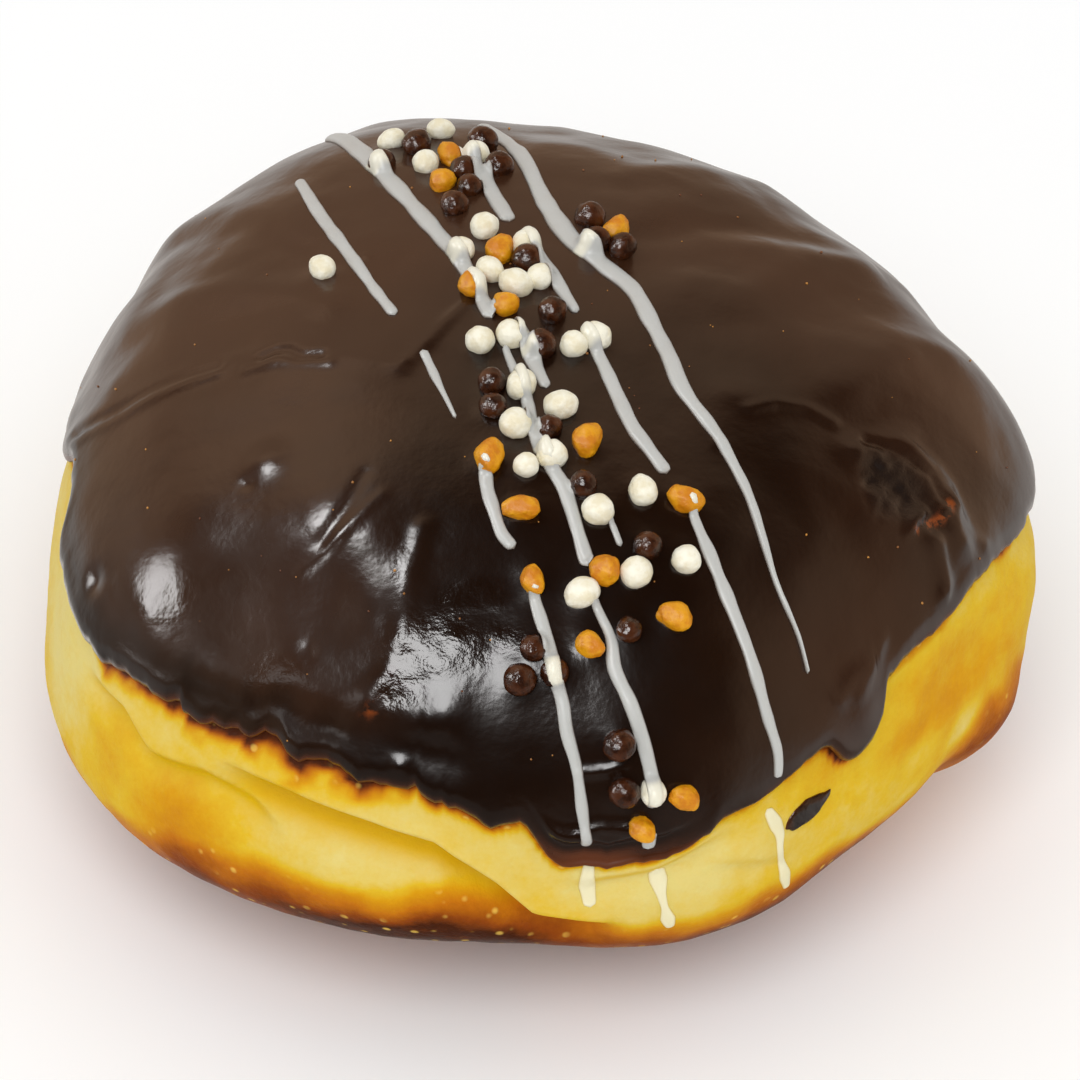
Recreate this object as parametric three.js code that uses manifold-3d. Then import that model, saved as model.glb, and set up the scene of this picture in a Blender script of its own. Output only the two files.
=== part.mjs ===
// Boston cream doughnut: a tall fried yeast bun, uncut, under chocolate icing with
// crunchy pearls and thin white drizzle. Millimetres, Z up, the photographed side faces -Y,
// origin in the middle of the footprint on the board.
import * as THREE from 'three';
import { mergeVertices } from 'three/addons/utils/BufferGeometryUtils.js';
import Module from 'manifold-3d';

const wasm = await Module();
wasm.setup();

// ---- bun: sizes round the bun start at +X and go anticlockwise in even steps ----
const bunRadii = [50, 46.5, 46.5, 48.5, 49.5, 53, 50.5, 48.5, 49.5, 51, 50.5, 48.5, 47.5, 49.5, 47.5, 49];
const widestHeights = [20, 19.5, 20.5, 20.5, 19, 19, 20.5, 21];
const crownHeight = 55.2;
const domeSquareness = 2.6;
const underRoundness = 2;
const flatCut = 2;
const heartX = -0.65;
const heartY = 0;

// ---- icing ----
const icingThickness = 1.5;
const icingGap = 0.3;
const edgeRounding = 2.4;
const edgeLip = 0.35;
const edgeHeights = [
  33, 32, 31.5, 32, 33, 32.5, 31.5, 32, 33, 33.5, 33, 33.5,
  36, 34.8, 32.8, 34, 35.4, 34, 31, 30.6, 32.6, 35.2, 37, 36.3,
];
const edgeRuns = [
  { name: 'side drip', azimuth: 312.5, halfWidth: 4.2, drop: 4.6 },
  { name: 'thin tongue', azimuth: 280.5, halfWidth: 9.5, drop: 3 },
  { name: 'bare patch', azimuth: 190, halfWidth: 6, drop: -3.2 },
];

// ---- flat map of the icing: millimetres over the icing from the crown, x right, y back ----
const mapScale = 0.78;
const icingSwells = [
  { at: [-38, -29], radius: 8, height: 0.9 },
  { at: [-22, -28], radius: 6, height: 0.6 },
  { at: [-15, -38], radius: 5, height: 0.6 },
  { at: [-29, -36], radius: 6, height: -0.5 },
  { at: [28, 5], radius: 10, height: -0.9 },
  { at: [44, 4], radius: 9, height: 0.7 },
  { at: [40, -25], radius: 6, height: 0.6 },
  { at: [-41, 30], radius: 5, height: 0.8 },
];
const icingRidges = [
  { line: [[-51, -2.5], [-41, -5.5], [-32, -5], [-24.5, -7], [-15, -10.5]], halfWidth: 1.8, height: 0.6 },
  { line: [[-15, -10.5], [-12.5, -6], [-8, -0.5]], halfWidth: 1.6, height: 0.4 },
  { line: [[34.5, -15.5], [39.5, -13], [44, -16.5], [46, -19]], halfWidth: 1.7, height: 0.8 },
];

// ---- crunchy pearls: single ones and loose groups along one band, places on the flat map ----
const pearlRadius = 1.7;
const pearlSeat = 0.8;
const pearlSpacing = 2.9;
const mostTries = 60;
const bandStart = [-14, 33];
const bandEnd = [13, -56];
const singlePearls = [
  [-24, 6.5], [6.5, -7], [4, -8.5], [-5, -24.5], [16, -28], [0, -37.5], [5, -38.5],
  [13.5, -54.5], [17, -54.5], [13, -58], [5.5, -22.5], [-1.5, -30.5], [14.5, -39.5], [-11.5, 22],
];
const pearlGroups = [
  { at: [-11.5, 26.5], along: 10, across: 6.5, count: 12, seed: 11090 },
  { at: [-5, 7], along: 8, across: 5, count: 9, seed: 22137 },
  { at: [6.5, 12.5], along: 4.5, across: 3.5, count: 4, seed: 36653 },
  { at: [-2.5, -6], along: 5, across: 5.5, count: 5, seed: 7031 },
  { at: [-1.5, -19.5], along: 7, across: 4.5, count: 8, seed: 10581 },
  { at: [10, -33], along: 9, across: 5.5, count: 8, seed: 16877 },
  { at: [1.5, -42.5], along: 5, across: 5, count: 4, seed: 47154 },
  { at: [10, -53], along: 3.5, across: 2.5, count: 2, seed: 45732 },
];

// ---- drizzle over the icing, centre lines on the flat map ----
const drizzleRadius = 0.8;
const drizzleSeat = 0.1;
const drizzleStep = 4.5;
const drizzleLines = [
  [[-28.5, 38], [-24, 19.5], [-15.5, -2]],
  [[-22, 41], [-12.5, 15.5], [-5, -3.5], [-1.5, -16.5], [4.5, -34], [8.5, -45], [13, -59]],
  [[-9, 33], [-6, 19.5], [0.5, 7], [7, -9.5], [14, -26.5], [21, -40.5], [27, -52]],
  [[-6, 38], [-1, 23], [4.5, 10.5], [14, -6.5], [22, -26], [28.5, -41]],
  [[-12, -9], [-8, -19.5]],
  [[-5, -25.5], [-2, -35]],
  [[0, -38.5], [2.2, -46.5], [5.8, -60.5]],
  [[8, -32], [9, -34.5]],
];

// ---- bare dough side: places as azimuth in degrees and height above the board ----
const doughFolds = [
  {
    line: [[234, 31.6], [242, 31.2], [251, 30.3], [259.5, 29.1], [266.5, 25], [271, 21], [279, 19.6]],
    depth: 2.6, lip: 0.7, reach: 3.2,
  },
  { line: [[211, 29.8], [218, 30.2], [223, 27.8], [231, 29.6], [240, 27.2]], depth: 1.5, lip: 0.5, reach: 2.6 },
  { line: [[276, 25.4], [284.5, 26.7], [293, 30.2]], depth: 0.9, lip: 0.4, reach: 2 },
  { line: [[292, 26.4], [300, 23.6]], depth: 0.6, lip: 0.3, reach: 1.6 },
];
const foldTrack = [
  [205, 29.8], [218, 30.2], [223, 27.8], [231, 29.6], [236, 31.4], [242, 31.2], [251, 30.3], [259.5, 29.1],
  [266.5, 25], [271, 21], [279, 19.6], [286, 21.5], [300, 23.6], [340, 26], [565, 29.8],
];
const doughSwells = [
  { azimuth: 250, height: 20, around: 16, upright: 6, rise: 1 },
  { azimuth: 262, height: 7, around: 15, upright: 6, rise: -0.8 },
  { azimuth: 305, height: 8, around: 13, upright: 8, rise: 0.8 },
  { azimuth: 191, height: 30, around: 8, upright: 5, rise: -1 },
  { azimuth: 210, height: 12, around: 22, upright: 9, rise: 1.7 },
  { azimuth: 352, height: 27, around: 11, upright: 6, rise: 0.9 },
  { azimuth: 343, height: 14, around: 7, upright: 6, rise: 2 },
  { azimuth: 331, height: 10, around: 4.5, upright: 7, rise: -1.8 },
  { azimuth: 334, height: 29, around: 8, upright: 4, rise: -1.2 },
  { azimuth: 315, height: 22, around: 8, upright: 6, rise: 0.6 },
];
const doughDrizzleSeat = -0.1;
const doughDrizzles = [
  [[284.5, 25], [285.2, 17.5]],
  [[297.5, 28.6], [298.6, 23], [299, 19]],
];
const splash = { azimuth: 303.5, height: 26.4, length: 4.6, width: 1.6, rise: 0.7, slope: 26 };

const ringCount = 60;
const frontCrowding = 0.4;
const doughRows = [9, 7, 17, 5];
const lipBand = 12;
const underneathFrom = 113;
const icingRows = 13;
const cutTolerance = 0.02;

const radians = Math.PI / 180;

function smoothStep(t) {
  const clamped = Math.min(1, Math.max(0, t));
  return clamped * clamped * (3 - 2 * clamped);
}

// Smooth closed curve through values that stand at even steps round the bun.
function around(values, azimuth) {
  const count = values.length;
  const place = (((azimuth % 360) + 360) % 360) / 360 * count;
  const index = Math.floor(place);
  const f = place - index;
  const [a, b, c, d] = [-1, 0, 1, 2].map((step) => values[(index + step + count) % count]);
  return 0.5 * (2 * b + (c - a) * f + (2 * a - 5 * b + 4 * c - d) * f * f + (3 * b - a - 3 * c + d) * f ** 3);
}

function azimuthGap(a, b) {
  return ((a - b + 540) % 360 + 360) % 360 - 180;
}

// Distance from the heart, on the axis at the widest height, to the smooth bun.
function bunReach(azimuth, down) {
  const widest = around(widestHeights, azimuth);
  const upper = down <= 90;
  const square = upper ? domeSquareness : underRoundness;
  const tall = upper ? crownHeight - widest : widest + flatCut;
  const flat = Math.abs(Math.sin(down * radians)) / around(bunRadii, azimuth);
  const upright = Math.abs(Math.cos(down * radians)) / tall;
  return (flat ** square + upright ** square) ** (-1 / square);
}

// Angle down from the crown at which the smooth bun has a given height.
function downAtHeight(azimuth, height) {
  const widest = around(widestHeights, azimuth);
  const rise = height - widest;
  const square = rise > 0 ? domeSquareness : underRoundness;
  const tall = rise > 0 ? crownHeight - widest : widest + flatCut;
  const left = Math.max(0, 1 - (Math.abs(rise) / tall) ** square) ** (1 / square);
  return Math.atan2(around(bunRadii, azimuth) * left, rise) / radians;
}

function edgeHeight(azimuth) {
  let height = around(edgeHeights, azimuth);
  for (const run of edgeRuns) {
    const off = azimuthGap(azimuth, run.azimuth) / run.halfWidth;
    height -= run.drop * Math.exp(-(off ** 4));
  }
  return height;
}

function foldHeight(line, azimuth) {
  for (let i = 1; i < line.length; i += 1) {
    const [fromAzimuth, fromHeight] = line[i - 1];
    const [toAzimuth, toHeight] = line[i];
    if (azimuth <= toAzimuth || i === line.length - 1) {
      const f = Math.max(0, Math.min(1, (azimuth - fromAzimuth) / (toAzimuth - fromAzimuth)));
      return fromHeight + (toHeight - fromHeight) * f;
    }
  }
  return 0;
}

function foldRelief(fold, azimuth, height) {
  const { line, depth, lip, reach } = fold;
  const start = line[0][0];
  const end = line[line.length - 1][0];
  const fade = smoothStep((azimuth - start + 3) / 6) * smoothStep((end + 3 - azimuth) / 6);
  if (fade === 0) {
    return 0;
  }
  const below = foldHeight(line, azimuth) - height;
  if (below < 0) {
    return fade * lip * Math.exp(-((below / 2.4) ** 2));
  }
  const tuck = smoothStep(below / 1.8);
  return fade * (lip * (1 - tuck) - depth * tuck * Math.exp(-((Math.max(0, below - 1.4) / reach) ** 2)));
}

function doughRelief(azimuth, down) {
  const height = around(widestHeights, azimuth) + bunReach(azimuth, down) * Math.cos(down * radians);
  const bare = smoothStep((edgeHeight(azimuth) + 1 - height) / 2.5);
  let relief = 0.5 * Math.sin((3 * azimuth + 40) * radians) * Math.sin(down * radians) ** 2;
  for (const swell of doughSwells) {
    const sideways = azimuthGap(azimuth, swell.azimuth) / swell.around;
    const upright = (height - swell.height) / swell.upright;
    relief += bare * swell.rise * Math.exp(-(sideways ** 2) - upright ** 2);
  }
  for (const fold of doughFolds) {
    relief += bare * foldRelief(fold, azimuth, height);
  }
  return relief;
}

function mapPlace(azimuth, down) {
  const far = mapScale * down;
  return new THREE.Vector2(far * Math.cos(azimuth * radians), far * Math.sin(azimuth * radians));
}

function distanceToLine(point, line) {
  let nearest = Infinity;
  for (let i = 1; i < line.length; i += 1) {
    const from = new THREE.Vector2(...line[i - 1]);
    const along = new THREE.Vector2(...line[i]).sub(from);
    const f = THREE.MathUtils.clamp(point.clone().sub(from).dot(along) / along.lengthSq(), 0, 1);
    nearest = Math.min(nearest, point.distanceTo(from.addScaledVector(along, f)));
  }
  return nearest;
}

function icingRelief(azimuth, down) {
  const point = mapPlace(azimuth, down);
  let relief = 0;
  for (const swell of icingSwells) {
    const off = point.distanceTo(new THREE.Vector2(...swell.at)) / swell.radius;
    relief += swell.height * Math.exp(-(off ** 2));
  }
  for (const ridge of icingRidges) {
    relief += ridge.height * Math.exp(-((distanceToLine(point, ridge.line) / ridge.halfWidth) ** 2));
  }
  return relief;
}

function pointAt(azimuth, down, reach) {
  const flat = reach * Math.sin(down * radians);
  const height = around(widestHeights, azimuth) + reach * Math.cos(down * radians);
  return new THREE.Vector3(
    heartX + flat * Math.cos(azimuth * radians),
    heartY + flat * Math.sin(azimuth * radians),
    Math.max(0, height),
  );
}

function doughPoint(azimuth, down, proud = 0) {
  return pointAt(azimuth, down, bunReach(azimuth, down) + doughRelief(azimuth, down) + proud);
}

function icingPoint(azimuth, down, proud = 0) {
  const reach = bunReach(azimuth, down);
  const toEdge = (downAtHeight(azimuth, edgeHeight(azimuth)) - down) * radians * reach;
  const rounding = Math.min(1, Math.max(0, toEdge / edgeRounding));
  const layer = edgeLip + (icingThickness - edgeLip) * Math.sqrt(1 - (1 - rounding) ** 2);
  const relief = doughRelief(azimuth, down) + icingRelief(azimuth, down) * rounding;
  return pointAt(azimuth, down, reach + icingGap + layer + relief + proud);
}

// Columns stand closer together on the side the photo shows.
function columnAzimuth(turn) {
  return turn / radians - (frontCrowding * Math.cos(turn)) / radians;
}

// A closed ball of rows and columns whose points are all moved by one rule.
function shapedBall(rows, moved) {
  const ball = new THREE.SphereGeometry(1, ringCount, rows);
  const positions = ball.attributes.position;
  for (let i = 0; i < positions.count; i += 1) {
    const column = i % (ringCount + 1) % ringCount;
    const row = Math.floor(i / (ringCount + 1));
    const point = moved(columnAzimuth((column / ringCount) * 2 * Math.PI), row / rows);
    positions.setXYZ(i, point.x, point.y, point.z);
  }
  return ball;
}

function closedMesh(geometry) {
  const bare = geometry.clone();
  bare.deleteAttribute('normal');
  bare.deleteAttribute('uv');
  const welded = mergeVertices(bare, 1e-4);
  return new wasm.Manifold(new wasm.Mesh({
    numProp: 3,
    vertProperties: new Float32Array(welded.attributes.position.array),
    triVerts: new Uint32Array(welded.index.array),
  }));
}

function geometryOf(solid) {
  const mesh = solid.getMesh();
  const geometry = new THREE.BufferGeometry();
  geometry.setAttribute('position', new THREE.BufferAttribute(new Float32Array(mesh.vertProperties), 3));
  geometry.setIndex(new THREE.BufferAttribute(new Uint32Array(mesh.triVerts), 1));
  geometry.computeVertexNormals();
  return geometry;
}

// Rows run along the main fold, close together on the bare side and wide apart elsewhere.
function doughBody() {
  const rows = doughRows.reduce((sum, count) => sum + count, 0);
  return shapedBall(rows, (azimuth, fraction) => {
    const turned = (((azimuth - foldTrack[0][0]) % 360) + 360) % 360 + foldTrack[0][0];
    const foldDown = downAtHeight(azimuth, foldHeight(foldTrack, turned));
    const stops = [0, foldDown - lipBand, foldDown, underneathFrom, 180];
    let left = Math.round(fraction * rows);
    let band = 0;
    while (band < doughRows.length - 1 && left > doughRows[band]) {
      left -= doughRows[band];
      band += 1;
    }
    return doughPoint(azimuth, stops[band] + (stops[band + 1] - stops[band]) * (left / doughRows[band]));
  });
}

// The first half of the rows is the icing's outside, the second half comes back along its inside.
function icingShell() {
  return shapedBall(2 * icingRows, (azimuth, fraction) => {
    const outside = fraction <= 0.5;
    const along = outside ? fraction * 2 : (1 - fraction) * 2;
    const spread = 1 - (1 - along) ** 1.5;
    const down = spread * downAtHeight(azimuth, edgeHeight(azimuth));
    return outside ? icingPoint(azimuth, down) : doughPoint(azimuth, down, icingGap);
  });
}

function onIcing([x, y], proud) {
  const azimuth = Math.atan2(y, x) / radians;
  return icingPoint(azimuth, Math.hypot(x, y) / mapScale, proud);
}

// Each group is drawn inside an oval that lies along the band; a pearl that would crowd another
// one is drawn again.
function pearlPlaces() {
  const lean = Math.atan2(bandEnd[1] - bandStart[1], bandEnd[0] - bandStart[0]);
  const places = singlePearls.map(([x, y]) => new THREE.Vector2(x, y));
  for (const { at, along, across, count, seed } of pearlGroups) {
    let state = seed;
    const draw = () => {
      state = (state * 16807) % 2147483647;
      return state / 2147483647;
    };
    for (let i = 0; i < count; i += 1) {
      const place = new THREE.Vector2();
      let tries = 0;
      do {
        const far = Math.sqrt(draw());
        const turn = 2 * Math.PI * draw();
        place.set(along * far * Math.cos(turn), across * far * Math.sin(turn));
        place.rotateAround(new THREE.Vector2(), lean).add(new THREE.Vector2(...at));
        tries += 1;
      } while (tries < mostTries && places.some((other) => other.distanceTo(place) < pearlSpacing));
      places.push(place);
    }
  }
  return places;
}

function pearl({ x, y }) {
  const centre = onIcing([x, y], pearlSeat);
  return new THREE.IcosahedronGeometry(pearlRadius, 0).translate(centre.x, centre.y, centre.z);
}

function cord(points, radius) {
  const path = new THREE.CatmullRomCurve3(points);
  const section = new THREE.Shape();
  for (let i = 0; i < 5; i += 1) {
    const turn = (i / 5) * 2 * Math.PI;
    section[i === 0 ? 'moveTo' : 'lineTo'](radius * Math.cos(turn), radius * Math.sin(turn));
  }
  const steps = Math.max(2, Math.round(path.getLength() / drizzleStep));
  return new THREE.ExtrudeGeometry(section, { steps, extrudePath: path, bevelEnabled: false });
}

function icingDrizzle(line) {
  const flatPath = new THREE.CatmullRomCurve3(line.map(([x, y]) => new THREE.Vector3(x, y, 0)));
  const count = Math.max(2, Math.round(flatPath.getLength() / 3));
  return cord(flatPath.getSpacedPoints(count).map(({ x, y }) => onIcing([x, y], drizzleSeat)), drizzleRadius);
}

function doughDrizzle(line) {
  return cord(line.map(([azimuth, height]) => (
    doughPoint(azimuth, downAtHeight(azimuth, height), doughDrizzleSeat)
  )), drizzleRadius);
}

function splashMark() {
  const { azimuth, height, length, width, rise, slope } = splash;
  const centre = doughPoint(azimuth, downAtHeight(azimuth, height));
  return new THREE.OctahedronGeometry(1, 2)
    .scale(rise, length / 2, width / 2)
    .rotateX(slope * radians)
    .rotateZ(azimuth * radians)
    .translate(centre.x, centre.y, centre.z);
}

function joined(body, extras) {
  let solid = closedMesh(body);
  for (const extra of extras) {
    solid = solid.add(closedMesh(extra));
  }
  return geometryOf(solid.simplify(cutTolerance));
}

function namedMesh(name, geometry, colour, roughness) {
  const material = new THREE.MeshStandardMaterial({ color: colour, roughness, metalness: 0 });
  const mesh = new THREE.Mesh(geometry, material);
  mesh.name = name;
  return mesh;
}

const dough = joined(doughBody(), [...doughDrizzles.map(doughDrizzle), splashMark()]);
const icing = joined(icingShell(), [...drizzleLines.map(icingDrizzle), ...pearlPlaces().map(pearl)]);

const group = new THREE.Group();
group.name = 'boston_cream_doughnut';
group.add(namedMesh('dough', dough, '#d9a441', 0.75));
group.add(namedMesh('chocolate_icing', icing, '#2e1a10', 0.35));

export default group;
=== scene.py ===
# Boston cream doughnut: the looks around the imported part, for Blender 4.5.
# Shapes are worked out in millimetres with the same sizes as the part's source, then set in metres.
import math

import bmesh
import bpy
import numpy as np
from mathutils import Matrix, Vector, noise
from mathutils.bvhtree import BVHTree


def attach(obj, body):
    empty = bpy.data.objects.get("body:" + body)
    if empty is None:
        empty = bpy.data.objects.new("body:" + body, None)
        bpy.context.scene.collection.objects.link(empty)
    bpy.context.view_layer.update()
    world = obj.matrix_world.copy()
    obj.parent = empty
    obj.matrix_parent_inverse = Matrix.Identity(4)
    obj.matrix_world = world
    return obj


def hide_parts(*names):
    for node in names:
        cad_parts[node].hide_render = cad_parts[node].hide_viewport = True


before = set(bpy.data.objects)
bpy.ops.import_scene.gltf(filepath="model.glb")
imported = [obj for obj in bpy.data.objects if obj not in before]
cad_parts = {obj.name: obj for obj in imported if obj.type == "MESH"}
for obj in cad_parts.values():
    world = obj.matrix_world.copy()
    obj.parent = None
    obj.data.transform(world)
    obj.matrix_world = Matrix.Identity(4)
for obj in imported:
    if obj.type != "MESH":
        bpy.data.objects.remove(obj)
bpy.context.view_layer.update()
mm = 0.001

# the creases of the two larger folds, in azimuth and height above the board
frontCrease = [(242, 31.2), (251, 30.3), (259.5, 29.1), (266.5, 25), (271, 21), (279, 19.6)]
leftCrease = [(218, 30.2), (223, 27.8), (231, 29.6)]

# the bun's form
bun = {
    "radii": [50, 46.5, 46.5, 48.5, 49.5, 53, 50.5, 48.5, 49.5, 51, 50.5, 48.5, 47.5, 49.5, 47.5, 49],
    "widestHeights": [20, 19.5, 20.5, 20.5, 19, 19, 20.5, 21],
    "crownHeight": 55.2,
    "domeSquareness": 2.6,
    "underRoundness": 2,
    "flatCut": 2,
    "heart": (-0.65, 0),
    "folds": [  # shadeEnd is the azimuth where the painted shade under the fold ends
        {"line": [(234, 31.6), *frontCrease], "depth": 2.6, "lip": 0.7, "reach": 3.2, "shadeEnd": 265},
        {"line": [(211, 29.8), *leftCrease, (240, 27.2)], "depth": 1.5, "lip": 0.5, "reach": 2.6,
         "shadeEnd": 240},
        {"line": [(276, 25.4), (284.5, 26.7), (293, 30.2)], "depth": 0.9, "lip": 0.4, "reach": 2,
         "shadeEnd": 290},
        {"line": [(292, 26.4), (300, 23.6)], "depth": 0.6, "lip": 0.3, "reach": 1.6, "shadeEnd": 300},
    ],
    "foldTrack": [(205, 29.8), *leftCrease, (236, 31.4), *frontCrease, (286, 21.5), (300, 23.6), (340, 26),
                  (565, 29.8)],
    "swells": [  # azimuth, height, reach round the bun, reach upright, rise
        (250, 20, 16, 6, 1), (262, 7, 15, 6, -0.8), (305, 8, 13, 8, 0.8), (191, 30, 8, 5, -1),
        (210, 12, 22, 9, 1.7), (352, 27, 11, 6, 0.9), (343, 14, 7, 6, 2), (331, 10, 4.5, 7, -1.8),
        (334, 29, 8, 4, -1.2), (315, 22, 8, 6, 0.6),
    ],
    "columns": 440,
    "rows": (26, 34, 110, 26),
    "lipBand": 12,
    "underneathFrom": 113,
    "paintedShadeStart": 1.15,  # where the painted shade under a fold fades, in depths of the fold, and how fast
    "paintedShadeFall": 0.5,
    "depthForFullShade": 1.3,
    "unevenness": (0.22, 0.09),  # rise of the broad and the small unevenness
}

# the two arms of the mark at the left of the icing, on the flat map
longMark = [(-51, -2.5), (-41, -5.5), (-32, -5), (-24.5, -7), (-15, -10.5)]
shortMark = [(-15, -10.5), (-12.5, -6), (-8, -0.5)]

icing = {
    "thickness": 1.5,
    "gap": 0.3,
    "edgeRounding": 2.4,
    "edgeLip": 0.35,
    "edgeHeights": [33, 32, 31.5, 32, 33, 32.5, 31.5, 32, 33, 33.5, 33, 33.5,
                    36, 34.8, 32.8, 34, 35.4, 34, 31, 30.6, 32.6, 35.2, 37, 36.3],
    "edgeRuns": [  # azimuth, half width, drop: side drip, thin tongue, bare patch
        (312.5, 4.2, 4.6), (280.5, 9.5, 3), (190, 6, -3.2),
    ],
    "mapScale": 0.78,  # millimetres over the icing for a degree down from the crown
    "swells": [  # x, y, radius, rise on the flat map
        (-38, -29, 8, 0.9), (-22, -28, 6, 0.6), (-15, -38, 5, 0.6), (-29, -36, 6, -0.5), (28, 5, 10, -0.9),
        (44, 4, 9, 0.7), (40, -25, 6, 0.6), (-41, 30, 5, 0.8),
    ],
    "ridges": [  # half width, rise, and the line along the top, on the flat map
        (1.8, 0.6, longMark),
        (1.6, 0.4, shortMark),
        (1.7, 0.8, [(34.5, -15.5), (39.5, -13), (44, -16.5), (46, -19)]),
    ],
    "ragged": 1,
    "waves": (0.62, 8.5, 0.08, 3.2),  # rise and size of the long and the short waves
    "fineSwells": [  # x, y, radius, rise
        (-16.6, -31.2, 2.6, 0.22), (-27.9, -20.3, 2, 0.5), (-37.5, -31, 4.5, -0.12), (-30, -27, 4.5, -0.3),
        (-20.5, -38.5, 3.6, -0.3), (-27, -35, 4, 0.25), (-30, -14, 8, -0.45), (-27, -10.5, 5, 0.3),
        (-18, -12.5, 5, 0.25), (37, -38.5, 3, 0.4), (38.8, -42, 2.4, 0.5), (-8.5, -43.5, 5, 0.3),
        (-13, 14, 7, -0.25), (30, -24, 8, -0.25), (46, -8, 4, 0.25),
    ],
    "fineRidges": [  # the same, too fine for the part's own solids
        (0.6, 0.22, [(-50.5, -4.9), (-45.3, -6.6), (-41.1, -6.7), (-34, -6.5)]),
        (0.6, -0.26, [(-50, -3.6), (-45.3, -5.3), (-41, -5.4), (-34, -5.2)]),
        (2, -0.46, longMark),
        (0.7, -0.4, [(-29.5, -5.9), (-28, -5.5), (-26.9, -5.9), (-25.5, -7.3), (-23.5, -7.6)]),
        (0.8, 0.2, [(-31, -7.2), (-27.5, -7.2), (-22.5, -8.9)]),
        (1.8, -0.25, shortMark),
        (0.8, 0.22, [(-14.2, -9.8), (-12.1, -6.8), (-8.8, -0.9)]),
        (0.7, -0.18, [(-17.8, -24.6), (-19.4, -28.4), (-21.4, -31)]),
        (0.6, 0.16, [(-15.8, -27.3), (-18.6, -29.8), (-21.3, -32.2), (-23.3, -33.3)]),
        (1, 0.24,
         [(-11.6, -31.5), (-12.2, -34.5), (-12.8, -38.1), (-13.7, -41.5), (-14.8, -43.9), (-16.8, -45.8)]),
        (3.2, 0.5, [(17.2, 5.1), (23.1, 4.1), (28.9, 11.4), (36.4, 22.3), (40.6, 22)]),
        (2.6, 0.4, [(22.3, -12.4), (27.7, -11.7), (33.4, -6.8), (39, 3.1), (42.4, 4.8)]),
        (2.6, -0.4, [(11.3, 13.9), (17.8, 17.5), (25.4, 18.8), (32.1, 19.7)]),
        (2.8, 0.4, [(-44.8, 9.1), (-37.8, 8), (-31.5, 6.1), (-23.4, 1.6)]),
        (2.6, -0.4, [(-40.2, 25.6), (-32.1, 18.6), (-23.6, 8.3)]),
        (2.6, 0.35, [(8.8, 25.6), (16.5, 31), (24.5, 35)]),
        (2.3, 0.4, [(-18, -48), (-14, -49.6), (-9, -48.6)]),
        (1.9, -0.18, [(-44.5, -26), (-42.8, -31), (-41.2, -34.6), (-38.2, -38.2)]),
        (1.9, -0.5, [(-36, -40.7), (-31, -44.2), (-26.3, -45.2), (-22.5, -47.4), (-16, -49.5), (-8, -53)]),
        (0.7, 0.25, [(23.3, -14.6), (26.1, -12.7), (29.2, -12.1), (32.2, -12.7)]),
        (0.9, 0.35, [(42.5, -21.7), (43.7, -23.4), (45.5, -26)]),
        (0.9, 0.3, [(37.3, -37.3), (35.5, -39.5), (34.6, -42)]),
        (0.45, 0.32, [(5.7, -54), (8, -53.6), (10.3, -52.8)]),
        (0.6, -0.7,
         [(35.6, -13.7), (36.8, -13.4), (38.4, -13.2), (39.9, -13.7), (41.8, -14.4), (42.5, -15.5),
          (43.6, -16.7)]),
        (0.8, 0.3, [(38.6, -11.6), (40.8, -12), (42.8, -12.7), (44.3, -13.9), (45, -15.6)]),
        (0.5, 0.45, [(43.5, -17.1), (43, -18.3), (41.4, -19.3), (40.3, -20.5), (40, -22.2)]),
        (0.7, 0.3, [(43.3, -21.1), (44.3, -22.6), (45.5, -24.7), (45, -26.5)]),
        (0.9, 0.25, [(44.6, -15.4), (47.2, -17.2), (49.5, -17)]),
        (0.9, 0.3, [(38.8, -34.3), (38, -37.3), (37, -40.4)]),
        (0.6, 0.45, [(3.1, -59.7), (5.8, -60.1), (8.3, -58.8), (11.4, -58.7), (12.9, -58.4)]),
    ],
    "pits": [  # x, y, radius, rise
        (-9, -43, 0.6, -0.12), (-46.5, -24.5, 1.1, -0.5), (-29.5, -22.5, 0.6, -0.2), (-14, -52.5, 0.7, 0.4),
        (-23, -40.5, 0.8, -0.2), (20, -20, 0.7, 0.15), (-20, 9, 0.7, 0.15),
    ],
    "crater": {"at": (38.6, -17.6), "reach": (6, 4.6), "lean": -40, "depth": 0.35, "rim": 0.22, "rough": 0.75,
               "rawLine": [(43.9, -16.4), (43.2, -18.8), (42.3, -19.8), (40.6, -21.6)], "rawHalfWidth": 0.36,
               "rawFleck": (-16.4, -47.2, 0.9, 0.5, 20)},
    "crinkles": [  # place, reach along and across, lean, strength
        (-9.5, -42.5, 5.6, 3.4, -8, 1), (-13.5, -45.6, 3, 2.4, 0, 1), (-7, -38.8, 4.4, 1.7, 5, 0.9),
        (-2.5, -42.6, 3.4, 1.2, -8, 0.8), (-37.6, -31, 3.8, 2.6, -25, 0.6), (-27, -42, 4.5, 2, 0, 0.6),
        (-21.2, -29, 4, 1.6, -65, 0.3), (-13.8, -35, 3, 1.2, -80, 0.4), (5.8, -59.7, 3, 0.9, 8, 0.8),
        (11.5, -58.6, 2.4, 0.7, 5, 0.8),
    ],
    "crinkleRise": 0.14,
    "bead": (1.9, 1.2, 0.13),  # distance from the edge, half width and rise along the front left
    "meniscus": (1.9, 0.3),  # reach and rise where the icing draws up round a pearl
    "columns": 440,
    "outerRows": 184,
    "innerRows": 16,
    "rowCrowding": 1.25,  # above 1 sets the rows closer near the edge
}

radians = math.pi / 180


def smoothStep(t):
    clamped = np.clip(t, 0, 1)
    return clamped * clamped * (3 - 2 * clamped)


def bell(t, power=2):
    return np.exp(-t ** power)


def between(a, b, c, d, f):
    # on a smooth curve through four values, a fraction f of the way from b to c
    square, cube = (2 * a - 5 * b + 4 * c - d) * f ** 2, (3 * b - a - 3 * c + d) * f ** 3
    return 0.5 * (2 * b + (c - a) * f + square + cube)


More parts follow.
